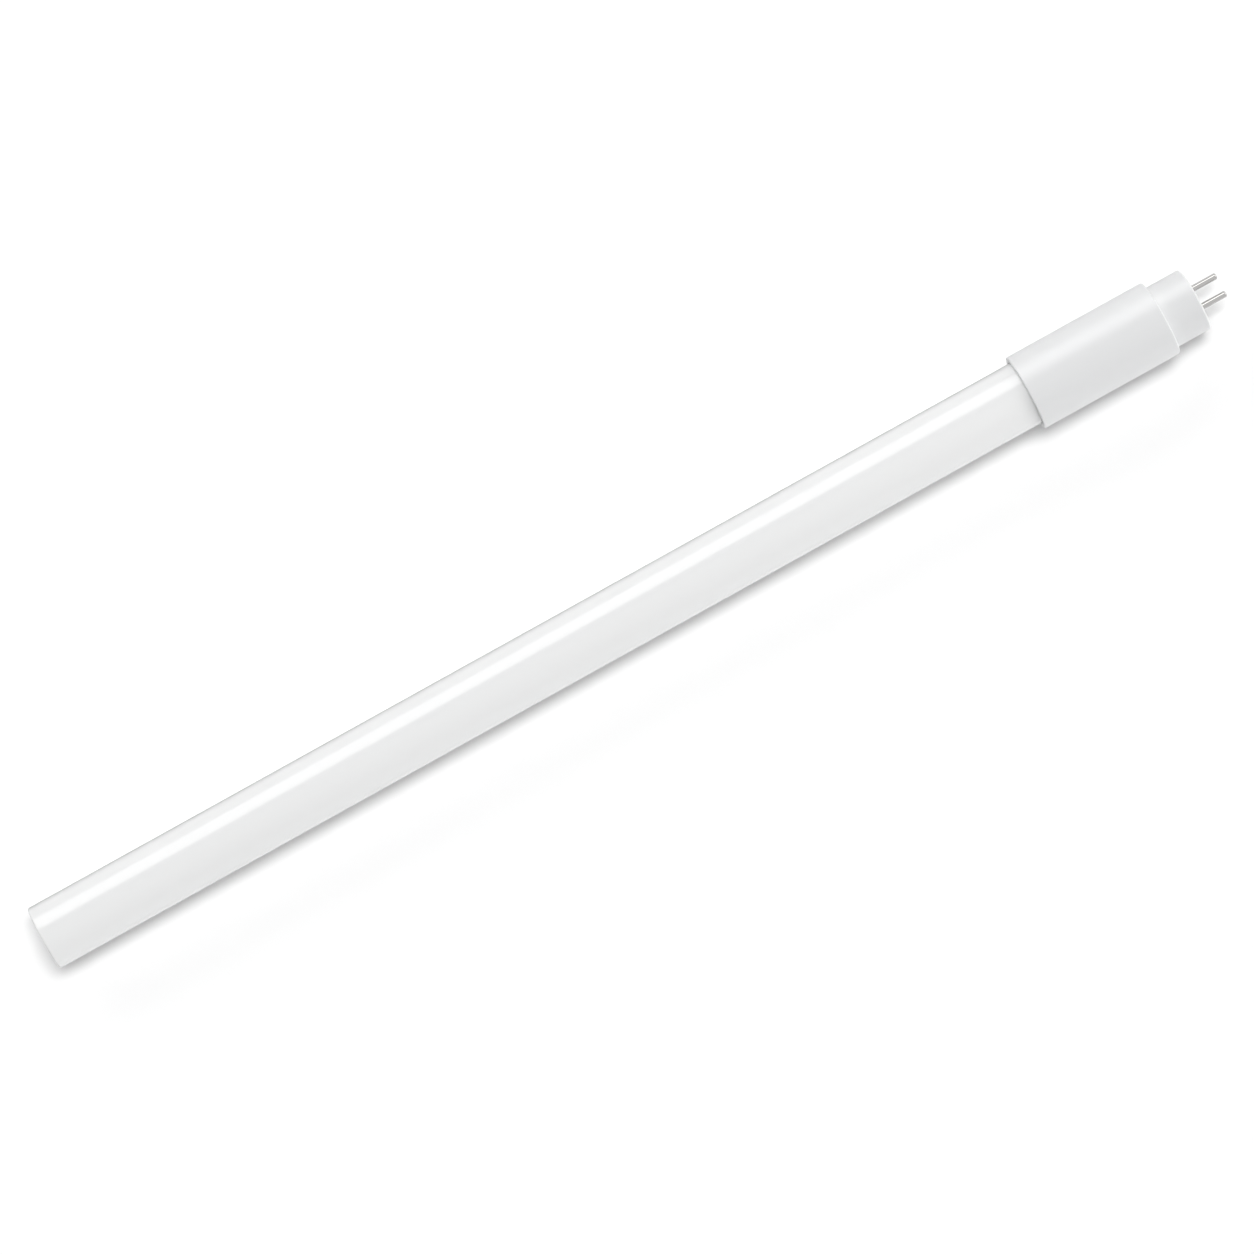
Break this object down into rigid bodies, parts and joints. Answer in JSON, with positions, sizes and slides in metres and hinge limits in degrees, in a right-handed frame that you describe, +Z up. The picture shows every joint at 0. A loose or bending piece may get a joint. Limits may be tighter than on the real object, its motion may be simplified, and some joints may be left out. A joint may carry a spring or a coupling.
{
  "type": "led light tube",
  "caption": "Slim opal tube lamp with a wider round driver sleeve and a turning two-pin base at one end; the far end is plain.",
  "frame": {"origin": "middle of the flat end face of the base, the face that meets the lampholder, on the tube's axis", "axes": "+X along the axis, the way the contact pins point; the tube runs towards -X. +Z is up, and with the base at rest the two pins stand side by side along Y. The LEDs face +Z."},
  "size_m": [0.3171, 0.019, 0.019],
  "materials": {
    "opal_glass": "opal white, gloss",
    "white_plastic": "moulded, satin white",
    "nickel": "nickel plated",
    "white_board": "white solder mask on aluminium",
    "led_body": "moulded white",
    "phosphor": "clear silicone with yellow phosphor",
    "chip_black": "moulded black",
    "white_silicone": "cured silicone",
    "lead_insulation": "flexible insulation",
    "spring_steel": "stamped stainless strip",
    "green_board": "green solder mask on glass-fibre board",
    "capacitor_can": "aluminium can in dark sleeving",
    "tinned_wire": "tinned",
    "ferrite": "sintered ferrite",
    "copper_wire": "enamelled copper",
    "capacitor_case": "moulded case",
    "resistor_body": "coated ceramic",
    "passive_ceramic": "fired ceramic",
    "header_plastic": "moulded black"
  },
  "bodies": {
    "lamp": {"tube": "opal_glass", "end_plug": "white_plastic", "led_board": "white_board", "led_packages": "led_body", "led_phosphors": "phosphor", "strip_resistors": "chip_black", "board_adhesive": "white_silicone", "driver_sleeve": "white_plastic", "cap_adhesive": "white_silicone", "driver_board": "green_board", "bulk_capacitor": "capacitor_can", "component_leads": "tinned_wire", "inductor_core": "ferrite", "inductor_winding": "copper_wire", "film_capacitor": "capacitor_case", "fuse_resistor": "resistor_body", "bridge_rectifier": "chip_black", "driver_ic": "chip_black", "package_feet": "tinned_wire", "smd_passives": "passive_ceramic", "output_header": "header_plastic", "header_pins": "tinned_wire"},
    "base": {"pin_base": "white_plastic", "contact_pins": "nickel", "pin_leads": "lead_insulation", "click_spring": "spring_steel"}
  },
  "joints": [
    {"name": "base_turn", "type": "hinge", "parent": "lamp", "child": "base", "pos_m": [0, 0, 0], "axis": [1, 0, 0], "range_deg": [-90, 90], "deforming": ["click_spring", "pin_leads"]}
  ]
}
